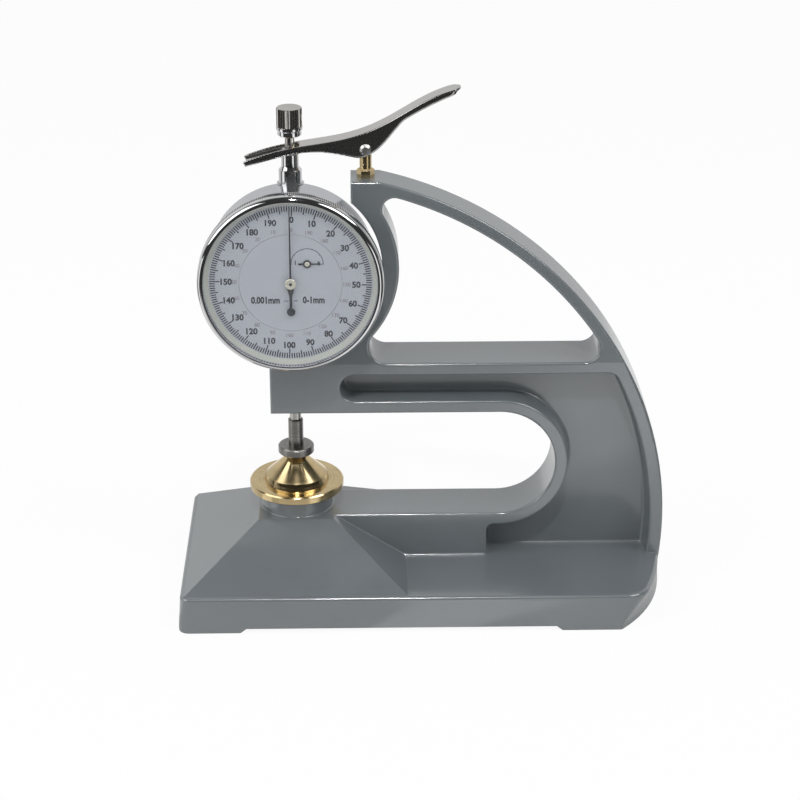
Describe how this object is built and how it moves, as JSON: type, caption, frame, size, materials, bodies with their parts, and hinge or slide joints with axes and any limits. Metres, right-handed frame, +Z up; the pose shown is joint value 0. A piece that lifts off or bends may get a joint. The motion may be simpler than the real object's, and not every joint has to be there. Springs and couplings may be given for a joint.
{
  "type": "bench thickness gauge",
  "caption": "Bench thickness gauge: a cast C-frame on a wide base holds a dial indicator over a flat anvil, with a lifting lever that raises the spindle.",
  "frame": {"origin": "middle of the footprint's bounding box, on the surface the gauge stands on", "axes": "+X to the right as seen from the dial side, along the base; +Y away from the dial side; +Z up, along the measuring axis"},
  "size_m": [0.1644, 0.0812, 0.176],
  "materials": {
    "casting_paint": "semi-gloss",
    "chrome": "polished",
    "satin_steel": "satin",
    "bright_steel": "polished",
    "black_steel": "satin",
    "dial_face": "matt",
    "pointer_black": "semi-gloss",
    "crystal": "clear",
    "brass": "satin",
    "spring_steel": "satin",
    "case_metal": "satin"
  },
  "bodies": {
    "frame": {"frame_casting": "casting_paint", "anvil": "brass", "anvil_screw": "black_steel", "lower_stem": "chrome", "stem_clamp_screw": "black_steel", "lower_bush": "brass", "upper_bush": "brass", "upper_sleeve": "chrome", "indicator_case": "case_metal", "back_cover": "case_metal", "back_cover_screws": "satin_steel", "rear_plate": "brass", "front_plate": "brass", "plate_pillars": "brass", "front_plate_screws": "satin_steel", "rear_plate_screws": "satin_steel", "rear_cock": "brass", "guide_rail": "brass", "spring_anchor": "bright_steel", "return_spring": "spring_steel", "hairspring": "spring_steel", "hairspring_stud": "brass", "dial_centre": "dial_face", "bezel_spring": "spring_steel", "lever_post": "brass", "pivot_rivet": "bright_steel"},
    "measuring_spindle": {"spindle": "bright_steel", "contact_point": "satin_steel", "guide_pin": "bright_steel", "lift_collar": "chrome", "spindle_cap": "satin_steel"},
    "rotating_bezel": {"bezel": "chrome", "crystal": "crystal", "dial_ring": "dial_face"},
    "main_hand": {"centre_arbor": "bright_steel", "main_pointer": "pointer_black", "pointer_hub": "bright_steel"},
    "turn_counter": {"counter_arbor": "bright_steel", "counter_gear": "brass", "small_pointer": "pointer_black"},
    "first_wheel": {"first_arbor": "bright_steel", "first_gear": "brass"},
    "second_wheel": {"second_arbor": "bright_steel", "second_gear": "brass"},
    "takeup_wheel": {"takeup_arbor": "bright_steel", "takeup_gear": "brass"},
    "lift_arm": {"lift_lever": "chrome"}
  },
  "joints": [
    {"name": "spindle_lift", "type": "slide", "parent": "frame", "child": "measuring_spindle", "axis": [0, 0, 1], "range_m": [0, 0.0012], "stiffness_N_per_m": 300, "springref_m": -0.003, "deforming": ["return_spring"]},
    {"name": "pointer_spin", "type": "hinge", "parent": "frame", "child": "main_hand", "pos_m": [-0.043, -0.02, 0.1167], "axis": [0, 1, 0], "range_deg": [0, 2160.1]},
    {"name": "first_spin", "type": "hinge", "parent": "frame", "child": "first_wheel", "pos_m": [-0.04023, 0, 0.1079], "axis": [0, 1, 0], "range_deg": [0, 54.01]},
    {"name": "second_spin", "type": "hinge", "parent": "frame", "child": "second_wheel", "pos_m": [-0.0468, 0, 0.11405], "axis": [0, 1, 0], "range_deg": [-432.1, 0]},
    {"name": "counter_spin", "type": "hinge", "parent": "frame", "child": "turn_counter", "pos_m": [-0.0376, 0, 0.12325], "axis": [0, 1, 0], "range_deg": [-216.1, 0]},
    {"name": "takeup_spin", "type": "hinge", "parent": "frame", "child": "takeup_wheel", "pos_m": [-0.04655, 0, 0.11968], "axis": [0, 1, 0], "range_deg": [-432.1, 0]},
    {"name": "lever_swing", "type": "hinge", "parent": "frame", "child": "lift_arm", "pos_m": [-0.0187, 0, 0.156], "axis": [0, 1, 0], "range_deg": [0, 10.41]},
    {"name": "bezel_turn", "type": "hinge", "parent": "frame", "child": "rotating_bezel", "pos_m": [-0.043, -0.019, 0.1167], "axis": [0, 1, 0], "continuous": true}
  ],
  "couplings": [
    {"joint": "pointer_spin", "follows": "spindle_lift", "rad_per_m": 31416},
    {"joint": "first_spin", "follows": "spindle_lift", "rad_per_m": 785.4},
    {"joint": "second_spin", "follows": "spindle_lift", "rad_per_m": -6283.2},
    {"joint": "counter_spin", "follows": "spindle_lift", "rad_per_m": -3141.6},
    {"joint": "takeup_spin", "follows": "spindle_lift", "rad_per_m": -6283.2},
    {"joint": "lever_swing", "follows": "spindle_lift", "rad_per_m": 151.26}
  ]
}
